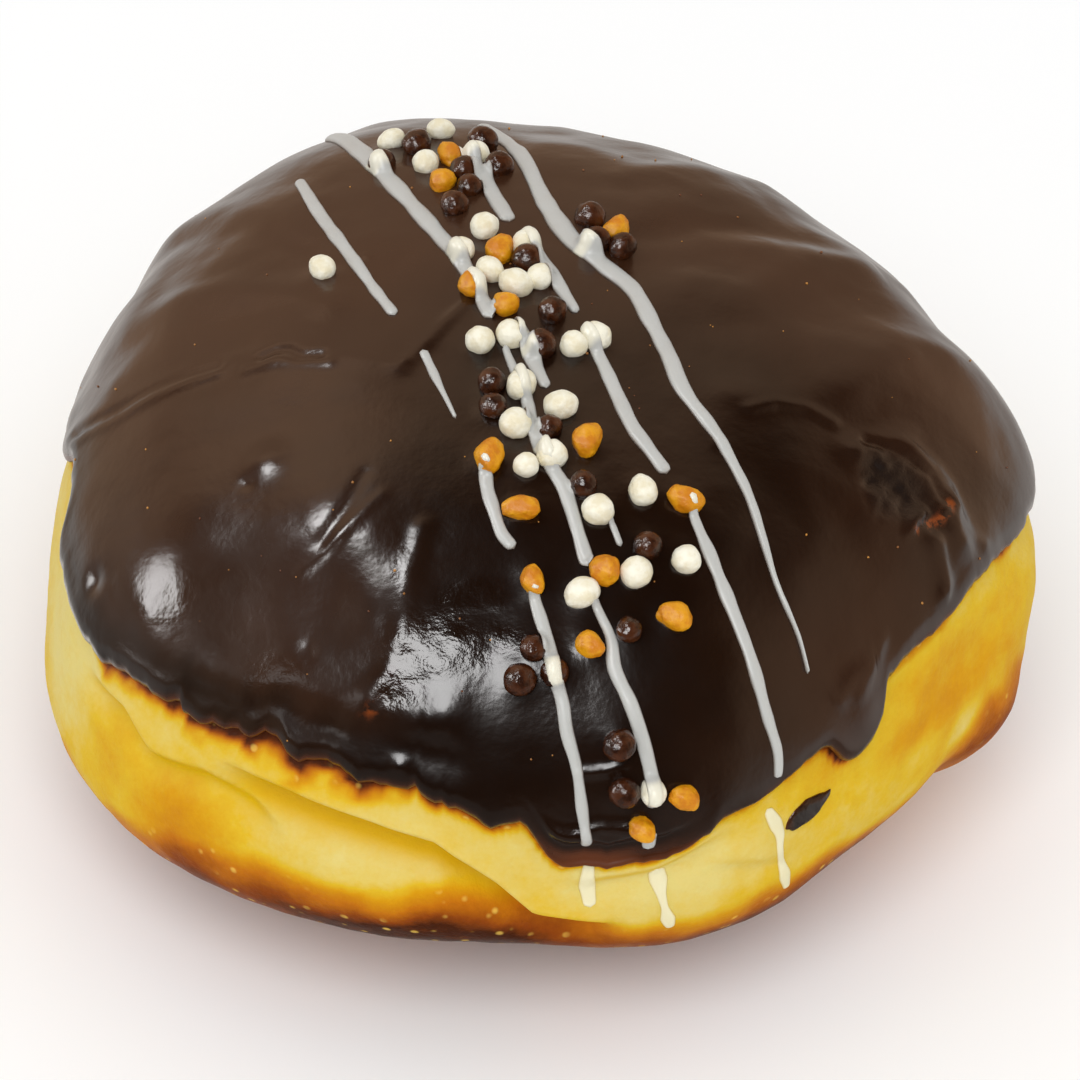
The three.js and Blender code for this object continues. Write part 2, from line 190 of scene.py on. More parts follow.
def around(values, azimuth):
    # smooth closed curve through values at even steps round the bun
    ring = np.asarray(values, float)
    count = len(ring)
    place = np.mod(azimuth, 360) / 360 * count
    index = np.floor(place).astype(int)
    f = place - index
    return between(*(ring[(index + step) % count] for step in (-1, 0, 1, 2)), f)


def azimuthGap(a, b):
    return np.mod(a - b + 180, 360) - 180


def bunReach(azimuth, down):
    widest = around(bun["widestHeights"], azimuth)
    upper = down <= 90
    square = np.where(upper, bun["domeSquareness"], bun["underRoundness"])
    tall = np.where(upper, bun["crownHeight"] - widest, widest + bun["flatCut"])
    flat = np.abs(np.sin(down * radians)) / around(bun["radii"], azimuth)
    upright = np.abs(np.cos(down * radians)) / tall
    return (flat ** square + upright ** square) ** (-1 / square)


def downAtHeight(azimuth, height):
    widest = around(bun["widestHeights"], azimuth)
    rise = height - widest
    square = np.where(rise > 0, bun["domeSquareness"], bun["underRoundness"])
    tall = np.where(rise > 0, bun["crownHeight"] - widest, widest + bun["flatCut"])
    left = np.maximum(0, 1 - (np.abs(rise) / tall) ** square) ** (1 / square)
    return np.arctan2(around(bun["radii"], azimuth) * left, rise) / radians


def wander(points, size, seed):
    # smooth noise from about -1 to 1 at each point, with bumps of that size
    shift = Vector((seed * 7.13, seed * 3.71, seed * 5.29))
    return np.array([noise.noise(Vector(p) / size + shift) for p in points])


def roundPlace(azimuth):
    a = np.asarray(azimuth) * radians
    return np.stack([50 * np.cos(a), 50 * np.sin(a), 0 * a], -1)


def edgeHeight(azimuth):
    height = around(icing["edgeHeights"], azimuth)
    for centre, halfWidth, drop in icing["edgeRuns"]:
        height -= drop * bell(azimuthGap(azimuth, centre) / halfWidth, 4)
    return height


def raggedEdgeHeight(azimuth):
    # most uneven where the icing ran thin over the front left
    places = roundPlace(azimuth)
    busy = 0.4 + 0.6 * bell(azimuthGap(azimuth, 245) / 36, 4)
    ragged = wander(places, 3.6, 5) + 0.7 * wander(places, 1.5, 6) + 0.4 * wander(places, 0.7, 13)
    step = bell(azimuthGap(azimuth, 270) / 1.8) - 0.9 * bell(azimuthGap(azimuth, 274) / 1.7)
    return edgeHeight(azimuth) + busy * icing["ragged"] * ragged + step


def foldHeight(line, azimuth):
    return np.interp(azimuth, [p[0] for p in line], [p[1] for p in line])


def foldRelief(fold, azimuth, height):
    # returns the relief, and 1 in the shaded band under the fold
    start, end = fold["line"][0][0], fold["line"][-1][0]
    fade = smoothStep((azimuth - start + 3) / 6) * smoothStep((end + 3 - azimuth) / 6)
    shadeFade = smoothStep((fold["shadeEnd"] + 5 - azimuth) / 9)
    below = foldHeight(fold["line"], azimuth) - height
    tuck = smoothStep((below + 0.3) / 2.5)
    hollow = tuck * bell(np.maximum(0, below - 1.4) / fold["reach"])
    above = fold["lip"] * bell(np.minimum(0, below) / 2.4) * (1 - tuck)
    fall = np.maximum(0, below / fold["depth"] - bun["paintedShadeStart"]) / bun["paintedShadeFall"]
    shade = smoothStep((below + 0.1) / 0.9) * bell(fall) * shadeFade
    return fade * (above - fold["depth"] * hollow), fade * shade


def ovalOff(azimuth, height, centre, level, sideways, upright):
    return (azimuthGap(azimuth, centre) / sideways) ** 2 + ((height - level) / upright) ** 2


def doughRelief(azimuth, down):
    turned = np.mod(azimuth, 360)
    height = around(bun["widestHeights"], azimuth) + bunReach(azimuth, down) * np.cos(down * radians)
    bare = smoothStep((edgeHeight(azimuth) + 1 - height) / 2.5)
    relief = 0.5 * np.sin((3 * azimuth + 40) * radians) * np.sin(down * radians) ** 2
    for centre, level, sideways, upright, rise in bun["swells"]:
        relief += bare * rise * bell(ovalOff(azimuth, height, centre, level, sideways, upright), 1)
    crease = np.zeros_like(relief)
    for fold in bun["folds"]:
        change, depth = foldRelief(fold, turned, height)
        relief += bare * change
        # the band under each fold gets painted shade, a deeper gold
        crease = np.maximum(crease, bare * depth * min(1, fold["depth"] / bun["depthForFullShade"]))
    return relief, crease


def distanceToLine(x, y, line):
    nearest = np.full(np.shape(x), np.inf)
    for (ax, ay), (bx, by) in zip(line, line[1:]):
        dx, dy = bx - ax, by - ay
        f = np.clip(((x - ax) * dx + (y - ay) * dy) / (dx * dx + dy * dy), 0, 1)
        nearest = np.minimum(nearest, np.hypot(x - ax - f * dx, y - ay - f * dy))
    return nearest


def mapPlace(azimuth, down):
    far = icing["mapScale"] * down
    return far * np.cos(azimuth * radians), far * np.sin(azimuth * radians)


def swellsAt(x, y, swells):
    rise = np.zeros(np.shape(x))
    for atX, atY, radius, height in swells:
        rise += height * np.exp(-((x - atX) ** 2 + (y - atY) ** 2) / radius ** 2)
    return rise


def ridgesAt(x, y, ridges):
    rise = np.zeros(np.shape(x))
    for halfWidth, height, line in ridges:
        rise += height * bell(distanceToLine(x, y, line) / halfWidth)
    return rise


def icingRelief(azimuth, down):
    x, y = mapPlace(azimuth, down)
    return swellsAt(x, y, icing["swells"]) + ridgesAt(x, y, icing["ridges"])


def spotAt(x, y, atX, atY, long, wide, lean):
    # 0 in the middle of a leaning oval, 1 on its edge
    c, s = math.cos(lean * radians), math.sin(lean * radians)
    u, v = (x - atX) * c + (y - atY) * s, (y - atY) * c - (x - atX) * s
    return np.hypot(u / long, v / wide)


def pointAt(azimuth, down, reach):
    flat = reach * np.sin(down * radians)
    height = around(bun["widestHeights"], azimuth) + reach * np.cos(down * radians)
    x = bun["heart"][0] + flat * np.cos(azimuth * radians)
    y = bun["heart"][1] + flat * np.sin(azimuth * radians)
    return np.stack([x, y, np.maximum(0, height)], -1)


def doughPoint(azimuth, down, proud=0):
    return pointAt(azimuth, down, bunReach(azimuth, down) + doughRelief(azimuth, down)[0] + proud)


def icingPoint(azimuth, down, proud=0, ragged=False):
    reach = bunReach(azimuth, down)
    edge = raggedEdgeHeight(azimuth) if ragged else edgeHeight(azimuth)
    toEdge = (downAtHeight(azimuth, edge) - down) * radians * reach
    rounding = np.clip(toEdge / icing["edgeRounding"], 0, 1)
    layer = icing["edgeLip"] + (icing["thickness"] - icing["edgeLip"]) * np.sqrt(1 - (1 - rounding) ** 2)
    relief = doughRelief(azimuth, down)[0] + icingRelief(azimuth, down) * rounding
    return pointAt(azimuth, down, reach + icing["gap"] + layer + relief + proud)


def fromMap(x, y):
    return np.degrees(np.arctan2(y, x)), np.hypot(x, y) / icing["mapScale"]


# shader tools
class Wire:
    # one socket of a material, usable in plain sums
    def __init__(self, tree, socket):
        self.tree = tree
        self.socket = socket

    def sum(self, operation, first, second):
        return addNode(self.tree, "ShaderNodeMath", {"operation": operation}, {0: first, 1: second})

    def __add__(self, other):
        return self.sum("ADD", self, other)

    __radd__ = __add__

    def __sub__(self, other):
        return self.sum("SUBTRACT", self, other)

    def __rsub__(self, other):
        return self.sum("SUBTRACT", other, self)

    def __mul__(self, other):
        return self.sum("MULTIPLY", self, other)

    __rmul__ = __mul__

    def clamped(self):
        return addNode(self.tree, "ShaderNodeClamp", {}, {"Value": self})

    def between(self, low, high):
        settings = {"interpolation_type": "SMOOTHSTEP"}
        sockets = {"Value": self, "From Min": low, "From Max": high}
        return addNode(self.tree, "ShaderNodeMapRange", settings, sockets)


def addNode(tree, kind, settings, sockets, output=0):
    node = tree.nodes.new(kind)
    for name, value in settings.items():
        if name == "stops":
            ramp = node.color_ramp
            while len(ramp.elements) < len(value):
                ramp.elements.new(0.5)
            for element, (place, colour) in zip(ramp.elements, value):
                element.position = place
                element.color = colour
        else:
            setattr(node, name, value)
    setInputs(tree, node, sockets)
    return Wire(tree, node.outputs[output])


def setInputs(tree, node, sockets):
    for name, value in sockets.items():
        if isinstance(value, Wire):
            tree.links.new(value.socket, node.inputs[name])
        else:
            node.inputs[name].default_value = value


def srgb(*channels):
    # a colour given from 0 to 255 in each channel, made linear
    parts = [channel / 255 for channel in channels]
    return (*(part / 12.92 if part <= 0.04045 else ((part + 0.055) / 1.055) ** 2.4 for part in parts), 1)


def mixColour(tree, factor, first, second):
    return addNode(tree, "ShaderNodeMix", {"data_type": "RGBA"}, {0: factor, 6: first, 7: second}, 2)


def newMaterial(name):
    material = bpy.data.materials.new(name)
    material.use_nodes = True
    tree = material.node_tree
    return material, tree, tree.nodes["Principled BSDF"]


def objectPlace(tree):
    return addNode(tree, "ShaderNodeTexCoord", {}, {}, "Object")


def noiseAt(tree, place, scale, detail=3, roughness=0.5):
    return addNode(tree, "ShaderNodeTexNoise", {},
                   {"Vector": place, "Scale": scale, "Detail": detail, "Roughness": roughness}, "Fac")


def markOf(tree, name):
    return addNode(tree, "ShaderNodeAttribute", {"attribute_name": name}, {}, "Fac")


def bumpFrom(tree, height, distance, strength):
    return addNode(tree, "ShaderNodeBump", {}, {"Height": height, "Distance": distance, "Strength": strength})


def putInScene(name, data):
    thing = bpy.data.objects.new(name, data)
    bpy.context.collection.objects.link(thing)
    return thing


# mesh tools
def makeBall(columns, rows):
    # a closed unit ball rolled up from a grid, its seam and both poles merged
    mesh = bmesh.new()
    bmesh.ops.create_grid(mesh, x_segments=columns, y_segments=rows, size=1)
    flat = np.array([point.co[:] for point in mesh.verts])
    turn, fall = (flat[:, 0] + 1) * math.pi, (1 - flat[:, 1]) * math.pi / 2
    rolled = np.stack([np.sin(fall) * np.cos(turn), np.sin(fall) * np.sin(turn), np.cos(fall)], -1)
    for point, place in zip(mesh.verts, rolled):
        point.co = place
    bmesh.ops.remove_doubles(mesh, verts=mesh.verts, dist=0.00001)
    return mesh


def ballPlaces(mesh):
    # azimuth in degrees and fraction from the top for each point of a unit ball
    places = np.array([point.co[:] for point in mesh.verts])
    azimuth = np.degrees(np.arctan2(places[:, 1], places[:, 0]))
    fraction = np.degrees(np.arccos(np.clip(places[:, 2], -1, 1))) / 180
    return azimuth, fraction


def finishPiece(name, mesh, material, marks, replaced=("chocolate_icing",)):
    bmesh.ops.recalc_face_normals(mesh, faces=mesh.faces)
    for face in mesh.faces:
        face.smooth = True
    data = bpy.data.meshes.new(name)
    mesh.to_mesh(data)
    mesh.free()
    for markName, values in marks.items():
        attribute = data.attributes.new(markName, "FLOAT", "POINT")
        attribute.data.foreach_set("value", np.asarray(values, dtype=np.float32))
    data.materials.append(material)
    piece = putInScene(name, data)
    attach(piece, "root")
    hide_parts(*replaced)
    print(name, len(data.polygons), "faces")
    return piece


def movePoints(mesh, places):
    for point, place in zip(mesh.verts, places):
        point.co = Vector(place) * mm


# dough
doughLook = {
    "tones": [  # place on the scale and colour: pale, light, golden, amber, brown and dark
        (0, srgb(220, 201, 120)), (0.22, srgb(218, 179, 36)), (0.39, srgb(211, 151, 5)),
        (0.62, srgb(190, 110, 3)), (0.83, srgb(140, 65, 2)), (1, srgb(74, 30, 3)),
    ],
    # painted shade: the deeper gold laid in the band under the folds
    "crease": srgb(214, 172, 5),
    "blister": srgb(236, 194, 84),
    "blisterScale": 520.0,
    "roughness": 0.62,
    "baseLine": [  # azimuth, and the height under which the base has browned
        (0, 17), (60, 16), (180, 15), (205, 16), (214, 16), (223, 17.5), (231, 19.8), (238, 22.3),
        (244, 21.8), (252, 22.3), (258, 23.8), (264, 22.8), (274, 19.4), (280, 19.2), (288, 18.4),
        (296, 18.7), (303, 18.5), (312, 19), (323, 19), (331, 21), (339, 22.5), (347, 21.5), (360, 17),
    ],
    "patches": [  # azimuth, height, half width round the bun, half height, toast added; those on the right side just under the icing are painted shade
        (216, 22, 20, 6.5, 0.17), (229.5, 20.5, 7.5, 6.5, 0.2), (250, 25.5, 12, 3.6, -0.05),
        (326, 30, 24, 6, 0.24), (333, 24, 15, 4, 0.14), (322, 20, 9, 3, 0.08), (285, 25, 13, 5, -0.1),
        (208, 31, 10, 2.4, -0.12), (30, 25, 40, 5, 0.1), (110, 26, 30, 5, 0.06), (312, 27, 5, 3, -0.12),
        (296, 20, 5, 3, 0.06), (204, 25, 9, 7, -0.26), (197, 29, 8, 4, -0.1), (258, 14, 16, 5, 0.3),
        (268, 19, 8, 4, 0.08), (308, 14, 14, 5, 0.16), (346, 19, 9, 5, 0.12), (345, 9, 16, 7, -0.3),
        (334, 22, 3, 2.5, -0.14), (325, 24, 4, 2, -0.12), (318, 31, 6, 3, -0.12),
    ],
}


def doughToastAndShade(azimuth, height, toEdge, places):
    # 0 pale, 1 dark brown: the browned base and corner, and the rim under the icing, which is browning
    #                       darkened further by painted shade from the icing's lip
    turned = np.mod(azimuth, 360)
    broad, middling, fine = wander(places, 11, 1), wander(places, 4.5, 7), wander(places, 1.7, 2)
    toast = 0.13 + 0.09 * broad + 0.05 * middling + 0.03 * fine
    baseLine = np.interp(turned, *zip(*doughLook["baseLine"])) + 1.4 * broad + 0.9 * middling
    under = baseLine - height
    toast += 0.32 * smoothStep((under + 1.2) / 3.2) + 0.36 * smoothStep((under - 0.5) / 6)
    for centre, level, sideways, upright, added in doughLook["patches"]:
        toast += added * bell(ovalOff(azimuth, height, centre, level, sideways, upright), 1.6)
    # painted shade: the rim just under the icing's lip is darkened partly for the shade there
    rimWide = 0.9 + 1.5 * bell(azimuthGap(azimuth, 236) / 24) + 0.5 * middling
    below = np.maximum(0, toEdge) / np.maximum(0.4, rimWide)
    rim = 0.28 * bell(below) * (1 + fine) + 0.7 * bell(below / (0.62 + 0.3 * fine))
    return np.clip(toast + rim, 0, 1)


def makeDoughMaterial():
    material, tree, shader = newMaterial("friedDough")
    place = objectPlace(tree)
    # browning, with painted shade on the right side and under the icing
    toast = markOf(tree, "toast")
    crease = markOf(tree, "crease")
    mottle = noiseAt(tree, place, 380, 4, 0.6) - 0.5
    speck = noiseAt(tree, place, 1500, 3, 0.6) - 0.5
    level = (toast + mottle * 0.2 + speck * 0.1).clamped()
    baked = addNode(tree, "ShaderNodeValToRGB", {"stops": doughLook["tones"]}, {"Fac": level}, "Color")
    # painted shade under the folds
    shaded = mixColour(tree, crease, baked, doughLook["crease"])
    cells = addNode(tree, "ShaderNodeTexVoronoi", {"feature": "F1"},
                    {"Vector": place, "Scale": doughLook["blisterScale"]}, "Distance")
    grouped = noiseAt(tree, place, 140, 2).between(0.4, 0.54)
    dots = (1 - cells.between(0.12, 0.28)) * toast.between(0.36, 0.55) * grouped
    spotted = mixColour(tree, dots * 0.7, shaded, doughLook["blister"])
    skin = noiseAt(tree, place, 240, 6, 0.55) + noiseAt(tree, place, 1700, 4, 0.6) * 0.3 + dots * 0.3
    setInputs(tree, shader, {
        "Base Color": spotted, "Roughness": doughLook["roughness"] - toast * 0.14 + speck * 0.1,
        "Normal": bumpFrom(tree, skin, 0.0005, 0.6), "Subsurface Weight": 0.12,
        "Subsurface Radius": (1.0, 0.5, 0.15), "Subsurface Scale": 0.002, "Specular IOR Level": 0.08})
    return material


def makeDough():
    rows = bun["rows"]
    mesh = makeBall(bun["columns"], sum(rows))
    azimuth, fraction = ballPlaces(mesh)
    start = bun["foldTrack"][0][0]
    turned = np.mod(azimuth - start, 360) + start
    foldDown = downAtHeight(azimuth, foldHeight(bun["foldTrack"], turned))
    row = fraction * sum(rows)
    ends = np.cumsum((0,) + rows)
    stops = [0 * row, foldDown - bun["lipBand"], foldDown, 0 * row + bun["underneathFrom"], 0 * row + 180]
    down = np.zeros_like(row)
    for band in range(4):
        inside = (row >= ends[band] - 1e-4) & (row <= ends[band + 1] + 1e-4)
        along = (row - ends[band]) / rows[band]
        down = np.where(inside, stops[band] + (stops[band + 1] - stops[band]) * along, down)
    relief, crease = doughRelief(azimuth, down)
    reach = bunReach(azimuth, down)
    smooth = pointAt(azimuth, down, reach)
    toEdge = (down - downAtHeight(azimuth, raggedEdgeHeight(azimuth))) * radians * reach
    long, small = bun["unevenness"]
    aboveBoard = smoothStep((smooth[:, 2] - 0.5) / 3)
    uneven = (long * wander(smooth, 7, 3) + small * wander(smooth, 2.4, 4)) * aboveBoard
    proud = relief + uneven * smoothStep(toEdge / 2)
    movePoints(mesh, pointAt(azimuth, down, reach + proud))
    toast = doughToastAndShade(azimuth, smooth[:, 2], toEdge, smooth)
    return finishPiece("dough_body", mesh, makeDoughMaterial(),
                       {"toast": toast, "crease": crease}, ("dough",))


dough = makeDough()


# pearls: places first, the icing rises to them
pearls = {
    "radius": 1.42,
    "seat": 0.75,
    "spacing": 2.9,
    "mostTries": 60,
    "seedStep": 16807,
    "seedRange": 2147483647,
    "bandStart": (-14, 33),
    "bandEnd": (13, -56),
    "single": [  # kind and place on the flat map
        ("white", -24, 6.5), ("white", 6.5, -7), ("white", 4, -8.5), ("caramel", -5, -24.5),
        ("caramel", 16, -28), ("caramel", 0, -37.5), ("white", 5, -38.5), ("white", 13.5, -54.5),
        ("caramel", 17, -54.5), ("caramel", 13, -58), ("caramel", 5.5, -22.5), ("caramel", -1.5, -30.5),
        ("caramel", 14.5, -39.5), ("caramel", -11.5, 22),
    ],
    "groups": [  # middle, reach along and across the band, white, caramel and dark ones, seed
        ((-11.5, 26.5), 10, 6.5, (4, 1, 7), 11090), ((-5, 7), 8, 5, (6, 2, 1), 22137),
        ((6.5, 12.5), 4.5, 3.5, (0, 1, 3), 36653), ((-2.5, -6), 5, 5.5, (2, 1, 2), 7031),
        ((-1.5, -19.5), 7, 4.5, (5, 0, 3), 10581), ((10, -33), 9, 5.5, (4, 1, 3), 16877),
        ((1.5, -42.5), 5, 5, (0, 1, 3), 47154), ((10, -53), 3.5, 2.5, (0, 0, 2), 45732),
    ],
    "kinds": ("white", "caramel", "dark"),
}


def pearlPlaces():
    start, end = pearls["bandStart"], pearls["bandEnd"]
    seedStep, seedRange = pearls["seedStep"], pearls["seedRange"]
    lean = math.atan2(end[1] - start[1], end[0] - start[0])
    places = list(pearls["single"])
    for (atX, atY), along, across, counts, seed in pearls["groups"]:
        state = seed
        for kind, count in zip(pearls["kinds"], counts):
            for _ in range(count):
                for _ in range(pearls["mostTries"]):
                    state = state * seedStep % seedRange
                    far = math.sqrt(state / seedRange)
                    state = state * seedStep % seedRange
                    turn = 2 * math.pi * state / seedRange
                    a, b = along * far * math.cos(turn), across * far * math.sin(turn)
                    x = atX + a * math.cos(lean) - b * math.sin(lean)
                    y = atY + a * math.sin(lean) + b * math.cos(lean)
                    if all(math.hypot(x - other[1], y - other[2]) >= pearls["spacing"] for other in places):
                        break
                places.append((kind, x, y))
    return places


pearlList = pearlPlaces()
pearlCentres = np.array([icingPoint(*fromMap(x, y), pearls["seat"]) for _, x, y in pearlList])


# icing
icingLook = {
    "deep": srgb(24, 9, 2),
    # brown is the lighter icing colour: a painted sheen on the icing, and uneven tone on the splash
    "brown": srgb(58, 34, 20),
    "thin": srgb(98, 44, 5),
    "raw": srgb(120, 54, 10),
    "roughness": 0.21,
}


def makeIcingMaterial():
    material, tree, shader = newMaterial("chocolateIcing")
    place = objectPlace(tree)
    crinkle = markOf(tree, "crinkle")
    cloud = noiseAt(tree, place, 55) - 0.5
    # painted sheen: lighter brown where the icing catches grazing light, broken up by cloud
    haze = (markOf(tree, "haze") + cloud * 0.9).clamped()
    body = mixColour(tree, haze, icingLook["deep"], icingLook["brown"])
    edged = mixColour(tree, markOf(tree, "thin").clamped(), body, icingLook["thin"])
    # painted shade: the crater's hollow is pulled back to the deep brown
    hollowed = mixColour(tree, markOf(tree, "torn") * 0.8, edged, icingLook["deep"])
    flecks = noiseAt(tree, place, 900, 3, 0.6).between(0.46, 0.62)
    rawBits = (markOf(tree, "raw") * 1.5 * flecks).clamped()
    patchy = noiseAt(tree, place, 95, 3, 0.6) - 0.5
    dull = (markOf(tree, "torn") + markOf(tree, "thin")) * 0.15
    ripple = noiseAt(tree, place, 190)
    grain = noiseAt(tree, place, 2200, 2)
    wrinkle = noiseAt(tree, place, 480, 4, 0.66) * (crinkle + markOf(tree, "torn") * 1.4)
    height = ripple * 0.35 + wrinkle * 0.34 + grain * 0.03
    setInputs(tree, shader, {
        "Base Color": mixColour(tree, rawBits, hollowed, icingLook["raw"]),
        "Roughness": icingLook["roughness"] + patchy * 0.18 - crinkle * 0.06 + dull,
        "Normal": bumpFrom(tree, height, 0.0008, 0.5)})
    return material


def craterAt(x, y, places):
    # the hollow on the right where the icing tore: its relief, how deep in the tear each place is, which also
    # darkens it as painted shade, and where the raw bits show
    crater = icing["crater"]
    far = spotAt(x, y, *crater["at"], *crater["reach"], crater["lean"]) * (1 + 0.5 * wander(places, 4, 14))
    hollow = 1 - smoothStep((far - 0.35) / 0.75)
    outerSide = smoothStep((x + 0.5 * y - 29) / 3)
    rim = crater["rim"] * outerSide * bell((far - 1.05) / 0.24)
    shreds = crater["rough"] * hollow * (wander(places, 2.2, 10) + 0.5 * wander(places, 0.9, 15))
    raw = bell(distanceToLine(x, y, crater["rawLine"]) / crater["rawHalfWidth"])
    raw += 0.8 * bell(spotAt(x, y, *crater["rawFleck"]))
    return rim - crater["depth"] * hollow + shreds, hollow, raw


def makeIcing():
    outer, inner = icing["outerRows"], icing["innerRows"]
    mesh = makeBall(icing["columns"], outer + inner)
    azimuth, fraction = ballPlaces(mesh)
    row = fraction * (outer + inner)
    outside = row <= outer + 1e-4
    along = np.clip(np.where(outside, row / outer, (outer + inner - row) / inner), 0, 1)
    edgeDown = downAtHeight(azimuth, raggedEdgeHeight(azimuth))
    down = (1 - (1 - along) ** icing["rowCrowding"]) * edgeDown
    toEdge = (edgeDown - down) * radians * bunReach(azimuth, down)
    x, y = mapPlace(azimuth, down)
    places = pointAt(azimuth, down, bunReach(azimuth, down))
    longRise, longSize, shortRise, shortSize = icing["waves"]
    fine = swellsAt(x, y, icing["fineSwells"]) + ridgesAt(x, y, icing["fineRidges"])
    waves = longRise * wander(places, longSize, 8) + shortRise * wander(places, shortSize, 9)
    # the waves are calmest at the front left
    fine += waves * (0.3 + 0.7 * np.maximum(smoothStep((y + 16) / 14), smoothStep((x - 14) / 10)))
    fine += swellsAt(x, y, icing["pits"])
    crater, torn, raw = craterAt(x, y, places)
    fine += crater
    crinkle = np.zeros_like(x)
    for spot in icing["crinkles"]:
        patch = spot[5] * np.exp(-spotAt(x, y, *spot[:5]) ** 4 * (1 + 0.8 * wander(places, 2.5, 11)))
        crinkle = np.maximum(crinkle, patch)
    fine += icing["crinkleRise"] * crinkle * wander(places, 2.1, 12)
    beadAt, beadHalf, beadRise = icing["bead"]
    front = bell(azimuthGap(azimuth, 222) / 34, 6)
    fine += beadRise * front * bell((toEdge - beadAt) / beadHalf)
    reach, rise = icing["meniscus"]
    fine += swellsAt(x, y, [(pearlX, pearlY, reach, rise) for _, pearlX, pearlY in pearlList])
    tongue = bell(azimuthGap(azimuth, 280) / 8, 6)
    thinned = 0.75 * tongue * smoothStep(toEdge) * (1 - smoothStep((toEdge - 2.6) / 1.2))
    fine = fine * smoothStep(toEdge / 1.6) - thinned
    outerPlaces = icingPoint(azimuth, down, fine, True)
    innerPlaces = doughPoint(azimuth, down, icing["gap"])
    movePoints(mesh, np.where(outside[:, None], outerPlaces, innerPlaces))
    redder = bell(azimuthGap(azimuth, 276.5) / 5, 4)
    fringe = 0.85 * bell(toEdge / (0.55 + 0.35 * wander(places, 2, 16)))
    fringe += (0.25 + 0.65 * redder) * tongue * (1 - smoothStep((toEdge - 1.2) / 1.4))
    # painted sheen, lighter towards the left, right and rear, standing for grazing reflection
    left, right, rear = smoothStep((-x - 4) / 22), smoothStep((x - 18) / 22), smoothStep((y + 12) / 26)
    haze = np.clip(0.06 + 0.5 * left * smoothStep((toEdge - 3) / 4) + 0.45 * right + 0.75 * rear, 0, 1)
    marks = {"thin": np.clip(fringe, 0, 1), "crinkle": crinkle, "torn": torn, "raw": raw, "haze": haze}
    return finishPiece("icing_layer", mesh, makeIcingMaterial(), marks)


icingPiece = makeIcing()


# pearls
pearlLook = {
    "white": {"colour": srgb(240, 235, 216), "shade": srgb(228, 218, 188), "roughness": 0.5,
              "lump": 0.07, "stretch": (0.95, 1.2), "bend": 0.06, "gloss": 0.35},
    "caramel": {"colour": srgb(219, 150, 5), "shade": srgb(200, 120, 0), "roughness": 0.45,
                "lump": 0.13, "stretch": (1.0, 1.35), "bend": 0.24, "gloss": 0.3},
    "dark": {"colour": srgb(70, 34, 13), "shade": srgb(40, 18, 8), "roughness": 0.2,
             "lump": 0.07, "stretch": (0.95, 1.1), "bend": 0.04, "gloss": 0.5},
}


def makePearlMaterial(kind):
    look = pearlLook[kind]
    material, tree, shader = newMaterial(kind + "Pearl")
    place = objectPlace(tree)
    tone = noiseAt(tree, place, 650, 3, 0.6).between(0.35, 0.62)
    dimples = noiseAt(tree, place, 1300, 3, 0.6)
    setInputs(tree, shader, {
        "Base Color": mixColour(tree, tone, look["shade"], look["colour"]),
        "Roughness": look["roughness"] + (dimples - 0.5) * 0.15,
        "Normal": bumpFrom(tree, dimples, 0.0003, 0.5), "Specular IOR Level": look["gloss"]})
    return material


def makePearls(kind):
    look = pearlLook[kind]
    generator = np.random.default_rng(len(kind) * 31)
    mesh = bmesh.new()
    for (pearlKind, _, _), centre in zip(pearlList, pearlCentres):
        if pearlKind != kind:
            continue
        made = bmesh.ops.create_icosphere(mesh, subdivisions=4, radius=1)["verts"]
        size = pearls["radius"] * generator.uniform(0.88, 1.12)
        stretch = generator.uniform(*look["stretch"])
        thin = 1 / math.sqrt(stretch)
        turned = Matrix.Rotation(generator.uniform(0, 6.28), 3, "Z")
        turned = turned @ Matrix.Rotation(generator.uniform(-0.5, 0.5), 3, "Y")
        shift = Vector(generator.uniform(-50, 50, 3))
        for point in made:
            lumps = noise.noise(point.co * 1.5 + shift) + 0.4 * noise.noise(point.co * 4 + shift)
            at = point.co * (1 + look["lump"] * lumps)
            sideways = (at.y + look["bend"] * (at.x ** 2 - 0.4)) * thin * (1 - 0.1 * at.x)
            bent = Vector((at.x * stretch, sideways, at.z * thin))
            point.co = (turned @ bent * size + Vector(centre)) * mm
    return finishPiece(kind + "_pearls", mesh, makePearlMaterial(kind), {})


pearlPieces = [makePearls(kind) for kind in pearls["kinds"]]


